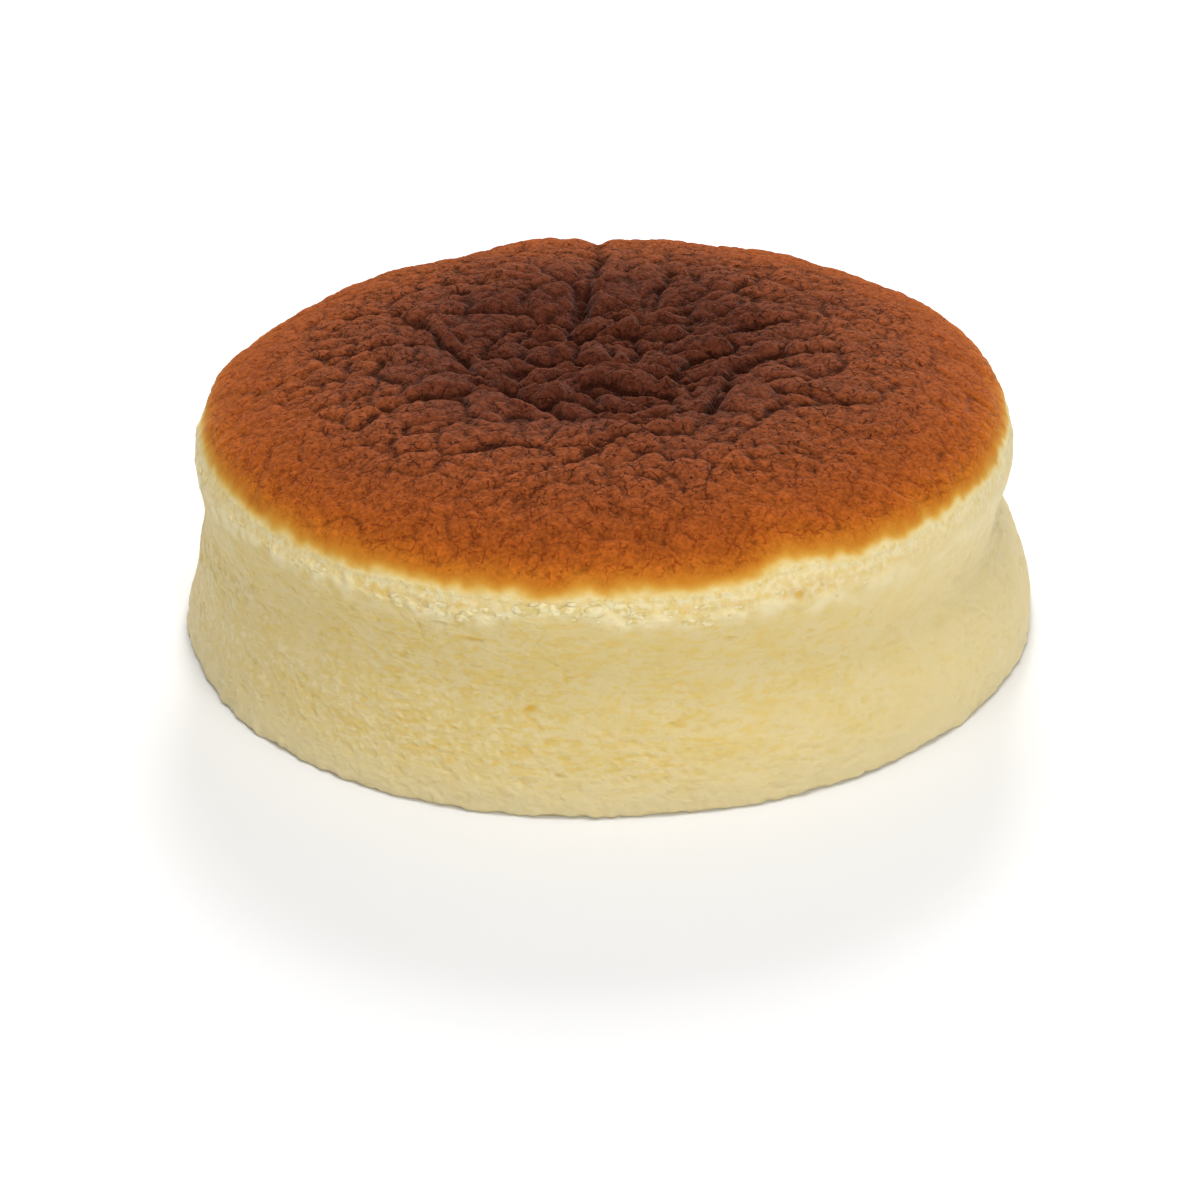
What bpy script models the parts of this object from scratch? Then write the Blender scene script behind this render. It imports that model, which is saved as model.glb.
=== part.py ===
"""Jiggly cheesecake: a tall, soft, round baked cake, whole and uncut.

One closed solid in metres, +Z up, with its origin in the middle of its flat base.  The body
is a turned profile: a rounded foot, a side that leans in to a waist, a lip under the browned
skin and a broad crown.  Functions then make it as uneven as a real cake: the plan is a little
out of round, the waist is deeper on one side, the middle of the crown has sunk, and its skin
stands in soft lumps between creases.
"""

import math

import bmesh
import bpy
import numpy as np

MM = 0.001

# Driving sizes of the turned body
BASE_RADIUS = 90.0 * MM
FOOT_HEIGHT = 2.0 * MM        # the foot is rounded below this height
FOOT_SETBACK = 1.4 * MM       # how far the rounding draws the base edge in
WAIST_RADIUS = 84.3 * MM
WAIST_HEIGHT = 27.5 * MM
RIM_RADIUS = 85.1 * MM        # the lip under the browned skin
RIM_HEIGHT = 38.5 * MM
CROWN_HEIGHT = 60.0 * MM
CROWN_FLATNESS = 3.1          # powers of the crown's curve: a higher one is flatter on top,
SHOULDER_FULLNESS = 2.4       # and a higher one here makes its shoulder squarer

# How finely the body is turned
TURN_STEPS = 100
PROFILE_SEGMENTS = 46
CROWN_CURVE_STEPS = 400
SIDE_CURVE_STEPS = 60
FOOT_CURVE_STEPS = 8

# The plan's waves: (waves round the cake, how far they move the side, where the first crest is)
PLAN_WAVES = (
    (2, 0.55 * MM, 165.0),
    (3, 0.40 * MM, 40.0),
    (5, 0.22 * MM, 100.0),
    (9, 0.12 * MM, 15.0),
)
WAIST_PINCH = 0.5 * MM        # how much deeper the waist is than the profile, on average
WAIST_PINCH_SWING = 0.6 * MM  # it is deepest at PINCH_SIDE and shallowest opposite
PINCH_SIDE = -8.0             # degrees round from +X
PINCH_REACH = 9.0 * MM        # the pinch fades out this far above and below the waist

# The crown: a shallow sunken middle, and a skin of lumps that fades out at the shoulder
HOLLOW_DEPTH = 4.0 * MM
HOLLOW_RADIUS = 33.0 * MM
HOLLOW_MIDDLE = (0.5 * MM, -4.0 * MM)
LUMP_SPACING = 12.0 * MM
LUMP_SHIFT = 0.36             # share of the spacing by which a lump leaves its even place
LUMP_HEIGHT = 1.1 * MM
LUMP_SEED = 23
LUMPS_FADE = (56.0 * MM, 80.0 * MM)

# Creases in the crown's skin, in millimetres: start, bend and end points, depth and width
CREASES_MM = (
    ((-2, 66), (-2, 46), (-2, 36), 2.2, 3.2),
    ((-2, 36), (-5, 28), (-5, 15), 3.4, 3.4),
    ((-6, 18), (-19, 18), (-25, 1), 2.4, 3.0),
    ((-43, 21), (-33, 8), (-26, -13), 2.6, 3.2),
    ((-26, -13), (-20, -20), (-5, -35), 2.6, 3.2),
    ((-5, -35), (6, -40), (16, -33), 2.0, 3.2),
    ((-60, 1), (-50, -1), (-39, 3), 1.2, 3.2),
    ((-46, -28), (-36, -21), (-18, -21), 1.3, 3.0),
    ((15, 46), (14, 32), (11, 20), 1.6, 3.2),
    ((24, 4), (31, 11), (40, 11), 1.8, 3.2),
    ((27, -8), (38, -3), (47, -6), 1.5, 3.2),
    ((16, -33), (27, -27), (25, -8), 2.2, 3.2),
    ((-14, 8), (2, 12), (19, 3), 1.8, 3.4),
    ((-16, -8), (-2, -4), (15, -12), 1.8, 3.4),
    ((-10, -22), (3, -17), (17, -24), 1.6, 3.4),
)
CREASE_SAMPLES = 24

CAKE_COLOUR = (0.79, 0.60, 0.27, 1.0)
CAKE_ROUGHNESS = 0.62


def clear_scene():
    """Removes whatever the scene holds."""
    for existing in list(bpy.data.objects):
        bpy.data.objects.remove(existing, do_unlink=True)


def smoothstep(low, high, value):
    """0 below low, 1 above high, and a smooth rise between them."""
    share = np.clip((value - low) / (high - low), 0.0, 1.0)
    return share * share * (3.0 - 2.0 * share)


def side_radius(height):
    """The turned body's radius between its foot and its lip."""
    foot_share = 1.0 - smoothstep(FOOT_HEIGHT, WAIST_HEIGHT, height)
    lip_share = smoothstep(WAIST_HEIGHT, RIM_HEIGHT, height)
    return (
        WAIST_RADIUS
        + (BASE_RADIUS - WAIST_RADIUS) * foot_share
        + (RIM_RADIUS - WAIST_RADIUS) * lip_share
    )


def crown_curve():
    """(radius, height) from the top of the axis down to the lip."""
    rise = CROWN_HEIGHT - RIM_HEIGHT
    turn = np.linspace(0.0, math.pi / 2, CROWN_CURVE_STEPS)
    radii = RIM_RADIUS * np.sin(turn) ** (2.0 / CROWN_FLATNESS)
    heights = RIM_HEIGHT + rise * np.abs(np.cos(turn)) ** (2.0 / SHOULDER_FULLNESS)
    return np.column_stack((radii, heights))


def side_curve():
    """(radius, height) from the lip down to the top of the foot."""
    heights = np.linspace(RIM_HEIGHT, FOOT_HEIGHT, SIDE_CURVE_STEPS)
    return np.column_stack((side_radius(heights), heights))


def foot_curve():
    """(radius, height) round the foot and down to the base."""
    turn = np.linspace(0.0, math.pi / 2, FOOT_CURVE_STEPS)
    radii = BASE_RADIUS - FOOT_SETBACK * (1.0 - np.cos(turn))
    heights = FOOT_HEIGHT * (1.0 - np.sin(turn))
    return np.column_stack((radii, heights))


def evenly_spaced(curve, segments):
    """The same curve as points that lie equal lengths apart."""
    steps = np.hypot(*np.diff(curve, axis=0).T)
    lengths = np.concatenate(([0.0], np.cumsum(steps)))
    wanted = np.linspace(0.0, lengths[-1], segments + 1)
    return np.column_stack([np.interp(wanted, lengths, column) for column in curve.T])


def profile_points():
    """The outline to turn: down the outer side from the top of the axis to the base's edge."""
    whole = np.vstack((crown_curve(), side_curve()[1:], foot_curve()[1:]))
    points = evenly_spaced(whole, PROFILE_SEGMENTS)
    points[0, 0] = 0.0
    points[-1, 1] = 0.0
    return points


def turned_body(collection):
    """The profile turned about the axis, as a mesh with one flat face for its base."""
    outline = bmesh.new()
    corners = [outline.verts.new((radius, 0.0, height)) for radius, height in profile_points()]
    for upper, lower in zip(corners, corners[1:]):
        outline.edges.new((upper, lower))
    profile_mesh = bpy.data.meshes.new("profile")
    outline.to_mesh(profile_mesh)
    outline.free()

    profile = bpy.data.objects.new("profile", profile_mesh)
    collection.objects.link(profile)
    screw = profile.modifiers.new("Turn", "SCREW")
    screw.steps = TURN_STEPS
    screw.render_steps = TURN_STEPS
    screw.use_merge_vertices = True
    screw.merge_threshold = 0.00005

    bpy.context.view_layer.update()
    turned = profile.evaluated_get(bpy.context.evaluated_depsgraph_get())
    mesh = bpy.data.meshes.new_from_object(turned)
    bpy.data.objects.remove(profile, do_unlink=True)
    close_base(mesh)
    return mesh


def close_base(mesh):
    """Fills the ring at the bottom with one face."""
    body = bmesh.new()
    body.from_mesh(mesh)
    open_edges = [edge for edge in body.edges if edge.is_boundary]
    bmesh.ops.holes_fill(body, edges=open_edges, sides=len(open_edges))
    bmesh.ops.recalc_face_normals(body, faces=body.faces)
    body.to_mesh(mesh)
    body.free()


def plan_wave(angle):
    """How far out of round the cake is at this angle."""
    return sum(
        size * np.cos(count * (angle - math.radians(crest)))
        for count, size, crest in PLAN_WAVES
    )


def waist_pinch(angle, height):
    """How far the waist is drawn in here, beyond the turned profile."""
    depth = WAIST_PINCH + WAIST_PINCH_SWING * np.cos(angle - math.radians(PINCH_SIDE))
    return depth * np.exp(-(((height - WAIST_HEIGHT) / PINCH_REACH) ** 2))


def lump_middles():
    """Middles of the crown's lumps: a staggered layout, each one shifted by chance."""
    chance = np.random.default_rng(LUMP_SEED)
    row_gap = LUMP_SPACING * math.sqrt(3.0) / 2.0
    count = math.ceil(RIM_RADIUS / row_gap) + 1
    middles = []
    for row in range(-count, count + 1):
        for column in range(-count, count + 1):
            stagger = 0.5 * (row % 2)
            shift = chance.uniform(-LUMP_SHIFT, LUMP_SHIFT, 2) * LUMP_SPACING
            middles.append(((column + stagger) * LUMP_SPACING + shift[0], row * row_gap + shift[1]))
    return np.array(middles)


def lump_relief(places):
    """Each lump is a low dome, so that the skin dips where two of them meet."""
    middles = lump_middles()
    gaps = np.linalg.norm(places[:, None, :] - middles[None, :, :], axis=2)
    nearest = np.sort(gaps, axis=1)[:, :2]
    dome = 1.0 - (nearest[:, 0] / LUMP_SPACING) ** 2
    valley = np.exp(-(((nearest[:, 1] - nearest[:, 0]) / (0.3 * LUMP_SPACING)) ** 2))
    return LUMP_HEIGHT * (dome - 0.6 * valley)


def bezier(start, bend, end, samples):
    """Points along the curve from start to end that is drawn towards bend."""
    share = np.linspace(0.0, 1.0, samples)[:, None]
    start, bend, end = (np.array(point, float) for point in (start, bend, end))
    return (1 - share) ** 2 * start + 2 * share * (1 - share) * bend + share**2 * end


def crease_relief(places):
    """How deep the creases are here. Where two meet, the deeper one counts."""
    deepest = np.zeros(len(places))
    for start, bend, end, depth, width in CREASES_MM:
        line = bezier(start, bend, end, CREASE_SAMPLES) * MM
        gaps = np.linalg.norm(places[:, None, :] - line[None, :, :], axis=2).min(axis=1)
        groove = depth * MM * np.exp(-((gaps / (width * MM)) ** 2))
        deepest = np.maximum(deepest, groove)
    return -deepest


def hollow_relief(places):
    """The sunken middle of the crown."""
    distance = np.linalg.norm(places - np.array(HOLLOW_MIDDLE), axis=1)
    return -HOLLOW_DEPTH * np.exp(-((distance / HOLLOW_RADIUS) ** 4))


def crown_relief(places):
    """How far the crown's skin stands above or below the turned profile."""
    radius = np.linalg.norm(places, axis=1)
    skin = lump_relief(places) + crease_relief(places)
    return hollow_relief(places) + skin * (1.0 - smoothstep(*LUMPS_FADE, radius))


def make_uneven(mesh):
    """Moves the turned body's points to where the real, uneven cake has them."""
    points = np.empty(len(mesh.vertices) * 3)
    mesh.vertices.foreach_get("co", points)
    points = points.reshape(-1, 3)
    radius = np.hypot(points[:, 0], points[:, 1])
    angle = np.arctan2(points[:, 1], points[:, 0])
    height = points[:, 2].copy()

    on_crown = smoothstep(RIM_HEIGHT, RIM_HEIGHT + 8.0 * MM, height)
    points[:, 2] += crown_relief(points[:, :2]) * on_crown
    drawn_out = plan_wave(angle) * radius / BASE_RADIUS - waist_pinch(angle, height)
    points[:, :2] *= (1.0 + drawn_out / np.maximum(radius, MM))[:, None]

    middle = (points[:, :2].min(axis=0) + points[:, :2].max(axis=0)) / 2.0
    points[:, :2] -= middle
    mesh.vertices.foreach_set("co", points.ravel())
    mesh.update()


def cake_material():
    """Pale baked custard sponge."""
    material = bpy.data.materials.new("baked cake")
    material.use_nodes = True
    surface = material.node_tree.nodes["Principled BSDF"]
    surface.inputs["Base Color"].default_value = CAKE_COLOUR
    surface.inputs["Roughness"].default_value = CAKE_ROUGHNESS
    surface.inputs["Metallic"].default_value = 0.0
    return material


def build_cheesecake():
    """The whole cake, as one object in its own collection."""
    collection = bpy.data.collections.new("jiggly cheesecake")
    bpy.context.scene.collection.children.link(collection)
    mesh = turned_body(collection)
    mesh.name = "cheesecake"
    make_uneven(mesh)
    mesh.materials.clear()
    mesh.materials.append(cake_material())
    mesh.shade_smooth()
    cake = bpy.data.objects.new("cheesecake", mesh)
    collection.objects.link(cake)
    return cake


clear_scene()
build_cheesecake()
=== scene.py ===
"""Looks of the jiggly cheesecake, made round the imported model.

The one solid is shown as meshes that ride on its one body: the crumb with its pitted side and
flat base, the browned crown that is set into it, and the flakes torn up along the line where
the two meet. The two big meshes are rings of points from the axis out and back to the axis.
Their outer rings follow the cake's turned profile, and functions of the place on the cake then
move their points: waves of the plan, lumps, creases, wrinkles, pits and torn edges. What the
materials have to know of a place, such as its distance from the browned edge, is left on the
meshes as attributes.

Lengths here are millimetres of a cake whose base is 90 mm in radius. MM, from the frame's box,
turns them into the scene's metres.
"""

import functools
import math

import bmesh
import bpy
import numpy as np
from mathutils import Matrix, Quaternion, Vector, noise


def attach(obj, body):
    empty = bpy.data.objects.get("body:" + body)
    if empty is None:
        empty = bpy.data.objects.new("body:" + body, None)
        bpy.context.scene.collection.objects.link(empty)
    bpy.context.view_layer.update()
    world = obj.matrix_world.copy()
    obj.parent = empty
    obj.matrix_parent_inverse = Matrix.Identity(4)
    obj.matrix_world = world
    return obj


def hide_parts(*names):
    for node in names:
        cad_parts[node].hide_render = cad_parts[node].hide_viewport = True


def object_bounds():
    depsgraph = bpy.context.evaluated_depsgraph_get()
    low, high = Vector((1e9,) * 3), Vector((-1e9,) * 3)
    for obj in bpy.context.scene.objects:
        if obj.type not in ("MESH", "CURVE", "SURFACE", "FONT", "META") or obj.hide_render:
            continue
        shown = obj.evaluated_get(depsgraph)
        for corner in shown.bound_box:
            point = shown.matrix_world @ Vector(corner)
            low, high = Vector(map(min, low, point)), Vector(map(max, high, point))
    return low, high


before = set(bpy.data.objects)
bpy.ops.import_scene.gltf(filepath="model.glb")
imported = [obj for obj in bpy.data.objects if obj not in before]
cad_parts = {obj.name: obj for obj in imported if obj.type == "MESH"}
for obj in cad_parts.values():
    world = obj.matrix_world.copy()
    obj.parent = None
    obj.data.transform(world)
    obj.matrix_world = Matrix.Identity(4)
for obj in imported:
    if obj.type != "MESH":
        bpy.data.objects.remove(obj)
cad_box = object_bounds()
BODY = "root"
NODE = "cheesecake"

# ---- sizes

BASE_RADIUS = 90.0
MM = (cad_box[1].x - cad_box[0].x + cad_box[1].y - cad_box[0].y) / 4 / BASE_RADIUS

FOOT_HEIGHT = 2.0
FOOT_SETBACK = 1.4
WAIST_RADIUS = 84.3
WAIST_HEIGHT = 27.5
RIM_RADIUS = 85.1
RIM_HEIGHT = 38.5
CROWN_HEIGHT = 60.0
CROWN_FLATNESS = 3.1
SHOULDER_FULLNESS = 2.4
CROWN_SAMPLES = 1500          # points on each part of the profile
SIDE_SAMPLES = 400
FOOT_SAMPLES = 40
NORMAL_STEP = 0.3             # how far along the profile its direction is measured

# Plan waves: waves round the cake, how far they move the side, degrees of the first crest
PLAN_WAVES = ((2, 0.55, 165.0), (3, 0.40, 40.0), (5, 0.22, 100.0), (9, 0.12, 15.0))
# Where the side is drawn in or pushed out: degrees round, reach in degrees, height, reach in
# height, how far out
SIDE_SWELLS = (
    (0.0, 75.0, 26.5, 8.5, -1.9),
    (180.0, 70.0, 10.0, 7.0, -1.5),
    (-135.0, 32.0, 0.0, 5.0, 1.2),
    (-90.0, 60.0, 25.0, 9.0, -0.6),
    (90.0, 70.0, 22.0, 10.0, -0.9),
)

# Rings of the two big meshes
CROWN_SIDES = 960             # points round the rim
CROWN_RING_GAP = 0.556        # along the profile
CROWN_TUCK_HEIGHT = 36.0      # the crown reaches down behind the crumb to here
CRUMB_SIDES = 1008
CRUMB_RING_GAP = 0.56
CRUMB_TOP_HEIGHT = 47.0       # the crumb reaches up behind the crown to here
CRUMB_CAP_HEIGHT = 42.0
CRUMB_CAP_INSET = 3.0         # how far inside the outer rings the hidden ones begin
CROWN_UNDERSIDE_INSET = 1.0
HIDDEN_RING_SHARE = (0.96, 0.8, 0.6, 0.4, 0.2, 0.08)
SEAM_DROP = 1.9               # the two meshes cross this far below the browned edge
SEAM_SLOPE = 0.10
SEAM_CURVE = 0.06
SEAM_DEEPEST = 2.2
# The side's relief gives way to the crown's between these heights
RELIEF_CHANGES = (43.6, 48.4)
# Rounds of taking means that tell how sunken a point is, in its crevice and in its valley
# Both set the painted shade in the crown's colour
CREVICE_ROUNDS = 14
VALLEY_ROUNDS = 160

# Round islands of the texture maps: middle and radius
CROWN_ISLAND = ((0.5, 0.5), 0.492)
UNDERSIDE_ISLAND = ((0.07, 0.07), 0.055)
CAP_ISLAND = ((0.11, 0.89), 0.1)
BASE_ISLAND = ((0.34, 0.89), 0.1)
SIDE_STRIPS = 3               # the side's map is cut into this many strips
STRIP_SPACING = 0.26

# The crown's skin
HOLLOW_DEPTH = 4.0
HOLLOW_RADIUS = 33.0
HOLLOW_MIDDLE = (0.5, -4.0)
CRUMPLE_RADIUS = 29.0
# Lumps and folds of the skin: size, how far each puffs up, and steps between neighbours
LARGE_LUMPS = (15.0, 2.4, 0.8)
MEDIUM_LUMPS = (6.6, 1.35, 0.38)
SMALL_LUMPS = (2.9, 0.42, 0.10)
FOLDS = (8.6, 3.8, 1.3)
WRINKLES = (4.2, 1.0, 0.35)
FOLDS_TURNED = 12.0           # degrees from the right that the folds run

# Creases: start, bend and end points in plan, depth, width
CREASES = (
    ((-5, 84), (3, 72), (-2, 57), 1.5, 1.7),
    ((-2, 60), (1, 48), (-2, 36), 2.1, 1.4),
    ((-2, 36), (-5, 28), (-5, 15), 3.2, 1.6),
    ((-2, 36), (1, 34), (4, 35), 1.6, 1.2),
    ((-6, 18), (-19, 18), (-25, 1), 2.6, 1.3),
    ((-43, 21), (-33, 8), (-26, -13), 2.4, 1.5),
    ((-26, -13), (-20, -20), (-5, -35), 2.6, 1.4),
    ((-5, -35), (6, -40), (16, -33), 2.0, 1.3),
    ((-60, 1), (-50, -1), (-39, 3), 1.2, 1.2),
    ((-46, -28), (-36, -21), (-18, -21), 1.4, 1.2),
    ((-51, -35), (-46, -29), (-43, -26), 1.1, 1.1),
    ((15, 46), (14, 32), (11, 20), 1.7, 1.3),
    ((24, 4), (31, 11), (40, 11), 2.0, 1.3),
    ((27, -8), (38, -3), (47, -6), 1.6, 1.2),
    ((16, -33), (27, -27), (25, -8), 2.3, 1.4),
    ((-18, 72), (-17, 62), (-21, 52), 1.0, 1.2),
    ((-9, -55), (-3, -49), (7, -43), 1.3, 1.2),
    ((7, -43), (12, -41), (19, -41), 1.2, 1.1),
    ((31, -22), (40, -30), (52, -28), 1.1, 1.1),
    ((-36, 38), (-28, 34), (-20, 37), 1.1, 1.1),
    ((-64, 20), (-52, 26), (-44, 22), 1.0, 1.1),
    ((34, 36), (42, 28), (52, 30), 1.0, 1.1),
    ((-30, -48), (-22, -44), (-15, -46), 1.0, 1.1),
    ((63, -45), (65, -42), (66, -38), 0.3, 0.7),
    ((-15, 8), (2, 13), (19, 3), 1.9, 1.1),
    ((-17, -8), (-3, -3), (15, -12), 1.8, 1.1),
    ((-11, -22), (3, -16), (18, -24), 1.8, 1.1),
    ((4, 12), (9, 3), (5, -5), 1.5, 0.9),
    ((-9, 6), (-13, 0), (-10, -8), 1.6, 0.9),
    ((13, -3), (19, -6), (24, -1), 1.4, 0.9),
)
CREASE_SAMPLES = 48           # points along each
CREASE_SHARE = 1.25           # all are this many times as deep
CREASE_REACH = 6.0            # in widths
CREASE_SWELLING = 0.35        # how high the skin swells beside one, as a share of its depth
# Deep pits where creases meet: place in plan, depth, radius
PITS = (
    (-26, -14, 3.2, 2.3),
    (-19, -8, 2.4, 2.4),
    (-5, 16, 3.0, 2.2),
    (28, -10, 2.6, 1.8),
    (24, -23, 1.8, 1.6),
    (-3, -36, 2.2, 1.8),
    (-24, 1, 1.8, 1.6),
)

# Broad swellings of the crown in plan: x, y, rise, radius
MOUNDS = (
    (-15.0, 74.0, 1.5, 13.0),
    (17.0, 76.0, 0.8, 12.0),
    (44.0, 66.0, 0.7, 10.0),
    (-48.0, 62.0, 0.9, 12.0),
    (70.0, 40.0, 0.6, 10.0),
    (-78.0, 12.0, 0.7, 11.0),
)

# The browned skin's lower edge, as a height, and where it rises: degrees, reach, rise
CRUST_EDGE_HEIGHT = 45.0
CRUST_NOTCHES = ((-65.0, 6.5, 2.0), (-43.5, 1.6, 1.1), (-19.0, 1.5, 0.9), (60.0, 7.0, 1.4))
# The crumb's torn upper edge: degrees, height, depth of the step above it, how wide it is
TORN_EDGE = (
    (-170, 40.6, 0.35, 1.8), (-158, 40.0, 0.35, 1.6), (-146, 40.6, 0.40, 1.4),
    (-136, 40.7, 0.40, 1.4), (-122, 40.0, 0.40, 1.2), (-108, 39.8, 0.45, 1.2),
    (-99, 42.2, 0.50, 0.9), (-93, 41.8, 0.45, 0.9), (-88, 40.2, 0.45, 1.2),
    (-80, 39.6, 0.35, 1.4), (-72, 39.8, 0.30, 1.8), (-57, 38.8, 0.30, 2.2),
    (-25, 38.6, 0.25, 2.6), (15, 39.2, 0.30, 2.2), (52, 40.4, 0.40, 1.4),
    (92, 39.6, 0.40, 1.4), (131, 40.8, 0.40, 1.6),
)


# ---- helpers

SEED_SHIFT = 17.31            # how far each seed moves its noise


def smoothstep(low, high, value):
    """0 below low, 1 above high, and a smooth rise between them."""
    share = np.clip((value - low) / (high - low), 0.0, 1.0)
    return share * share * (3.0 - 2.0 * share)


def bump(value, middle, reach):
    """1 at the middle, fading to 0 over the reach."""
    return np.exp(-(((value - middle) / reach) ** 2))


def scaled(places, size, seed, stretch=(1.0, 1.0, 1.0)):
    """The places in steps of this size, moved to another part of the noise for each seed."""
    return (places / (size * np.array(stretch)) + seed * SEED_SHIFT).tolist()


def noise_at(places, size, seed):
    """Smooth noise between -1 and 1, with waves of about this size."""
    return np.array([noise.noise(place) for place in scaled(places, size, seed)])


def fractal_at(places, size, seed, octaves):
    """Noise with finer and finer waves added."""
    places = scaled(places, size, seed)
    return np.array([noise.fractal(place, 0.9, 2.1, octaves) for place in places])


def cells_at(places, size, seed, stretch):
    """For cells about size across: distances to the nearest two middles, and their levels.

    The levels are chance numbers between -1 and 1, one for each cell.
    """
    rows = []
    for place in scaled(places, size, seed, stretch):
        gaps, middles = noise.voronoi(place)
        rows.append((gaps[0], gaps[1], noise.cell(middles[0]), noise.cell(middles[1])))
    return np.array(rows).reshape(-1, 4).T


def warped(places, *winds):
    """The places, each shifted so that what is drawn there wanders.

    Each wind has the size of its waves, about how far it shifts a place, and a seed.
    """
    for size, reach, seed in winds:
        shifts = [noise_at(places, size, seed + axis) for axis in range(3)]
        places = places + reach * np.column_stack(shifts)
    return places


def on_cake(angle, radius, height):
    """Places at an angle and a radius from the axis, as (x, y, z)."""
    return np.column_stack((radius * np.cos(angle), radius * np.sin(angle), height))


def turned_from(angle, degrees):
    """How many degrees round the cake the angle lies from this one, between -180 and 180."""
    return (np.degrees(angle) - degrees + 180.0) % 360.0 - 180.0


# ---- the turned profile


def side_radius(height):
    """The turned body's radius between its foot and its lip."""
    foot_share = 1.0 - smoothstep(FOOT_HEIGHT, WAIST_HEIGHT, height)
    lip_share = smoothstep(WAIST_HEIGHT, RIM_HEIGHT, height)
    return (
        WAIST_RADIUS
        + (BASE_RADIUS - WAIST_RADIUS) * foot_share
        + (RIM_RADIUS - WAIST_RADIUS) * lip_share
    )


def crown_curve():
    """(radius, height) from the top of the axis down to the lip."""
    turn = np.linspace(0.0, math.pi / 2, CROWN_SAMPLES)
    radii = RIM_RADIUS * np.sin(turn) ** (2.0 / CROWN_FLATNESS)
    rise = CROWN_HEIGHT - RIM_HEIGHT
    heights = RIM_HEIGHT + rise * np.abs(np.cos(turn)) ** (2.0 / SHOULDER_FULLNESS)
    return np.column_stack((radii, heights))


def side_curve():
    """(radius, height) from the lip down to the top of the foot."""
    heights = np.linspace(RIM_HEIGHT, FOOT_HEIGHT, SIDE_SAMPLES)
    return np.column_stack((side_radius(heights), heights))


def foot_curve():
    """(radius, height) round the foot and down to the base."""
    turn = np.linspace(0.0, math.pi / 2, FOOT_SAMPLES)
    radii = BASE_RADIUS - FOOT_SETBACK * (1.0 - np.cos(turn))
    heights = FOOT_HEIGHT * (1.0 - np.sin(turn))
    return np.column_stack((radii, heights))


WHOLE_CURVE = np.vstack((crown_curve(), side_curve()[1:], foot_curve()[1:]))
CURVE_LENGTHS = np.concatenate(
    ([0.0], np.cumsum(np.hypot(*np.diff(WHOLE_CURVE, axis=0).T)))
)


def on_curve(lengths):
    """(radius, height) at these lengths along the profile from the middle of the crown."""
    return np.column_stack([np.interp(lengths, CURVE_LENGTHS, line) for line in WHOLE_CURVE.T])


def length_at_height(height):
    """Length along the profile, from the middle of the crown, down to this height."""
    return float(np.interp(-height, -WHOLE_CURVE[:, 1], CURVE_LENGTHS))


def plan_wave(angle):
    """How far out of round the cake is at this angle."""
    return sum(
        size * np.cos(count * (angle - math.radians(crest)))
        for count, size, crest in PLAN_WAVES
    )


def side_swell(angle, height):
    """How far the side stands out here beyond the turned profile."""
    out = np.zeros(len(angle))
    for degrees, reach, level, height_reach, size in SIDE_SWELLS:
        near = bump(turned_from(angle, degrees), 0.0, reach)
        out += size * near * bump(height, level, height_reach)
    return out


# ---- rings and meshes


class Rings:
    """Rings of points round the axis, from the top of the axis to its bottom.

    A ring has a radius, a height, a number of points and a length along the outer profile.
    Rings of the hidden parts have a length too, which only tells them from the outer ones.
    """

    def __init__(self):
        self.rows = []

    def add_outer(self, first, last, gap, count_at):
        """Rings along the profile, about this gap apart; count_at gives each its points.

        Returns the last ring's radius.
        """
        steps = math.ceil((last - first) / gap)
        for step, length in enumerate(np.linspace(first, last, steps + 1)):
            radius, height = on_curve(np.array([length]))[0]
            self.rows.append((radius, height, count_at(step), length, True))
        return radius

    def add_hidden(self, radius, height, sides, length, inward):
        """Flat rings between the axis and this radius, each with fewer points than the next."""
        rows = []
        for share in HIDDEN_RING_SHARE:
            count = max(6, 2 * round(sides * share * share / 2))
            rows.append((radius * share, height, min(count, sides), length, False))
        rows.append((0.0, height, 1, length, False))
        self.rows += rows if inward else reversed(rows)

    def points(self):
        """For all points: share of a turn, radius, height, length and whether it is outside."""
        ring = np.repeat(np.arange(len(self.rows)), [row[2] for row in self.rows])
        turn = np.concatenate([np.arange(row[2]) / row[2] for row in self.rows])
        radius, height, _, length, outer = np.array(self.rows, float).T[:, ring]
        return turn, radius, height, length, outer > 0.5

    def triangles(self):
        """Corners of all triangles, and the share of a turn at each corner."""
        counts = [row[2] for row in self.rows]
        firsts = np.concatenate(([0], np.cumsum(counts)))
        rings = list(zip(firsts, counts))
        faces, turns = zip(*(bridge(above, below) for above, below in zip(rings, rings[1:])))
        return np.vstack(faces), np.vstack(turns)


def bridge(above, below):
    """Triangles between two neighbouring rings, each given by its first point and its count.

    Each edge of a ring is joined to the point of the other that lies nearest to its middle.
    """
    edges_above = np.arange(above[1])
    edges_below = np.arange(below[1])
    apex_below = np.floor((edges_above + 0.5) * below[1] / above[1] + 0.5).astype(int)
    apex_above = np.searchsorted(apex_below, edges_below, side="right")
    fans = (
        (below, above, (edges_below, edges_below + 1, apex_above)),
        (above, below, (edges_above + 1, edges_above, apex_below)),
    )
    faces = []
    turns = []
    for own, other, corners in fans:
        if own[1] == 1:
            continue
        corners = np.stack(corners, 1)
        firsts, counts = np.array((own, own, other)).T
        turn = corners / counts
        if other[1] == 1:
            turn[:, 2] = (turn[:, 0] + turn[:, 1]) / 2
        faces.append(firsts + corners % counts)
        turns.append(turn)
    return np.vstack(faces), np.vstack(turns)


def outer_normals(length):
    """Outward direction of the profile, as radial and upward parts."""
    ahead = on_curve(np.minimum(length + NORMAL_STEP, CURVE_LENGTHS[-1]))
    behind = on_curve(np.maximum(length - NORMAL_STEP, 0.0))
    along = ahead - behind
    along /= np.maximum(np.linalg.norm(along, axis=1), 1e-9)[:, None]
    return -along[:, 1], along[:, 0]


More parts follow.
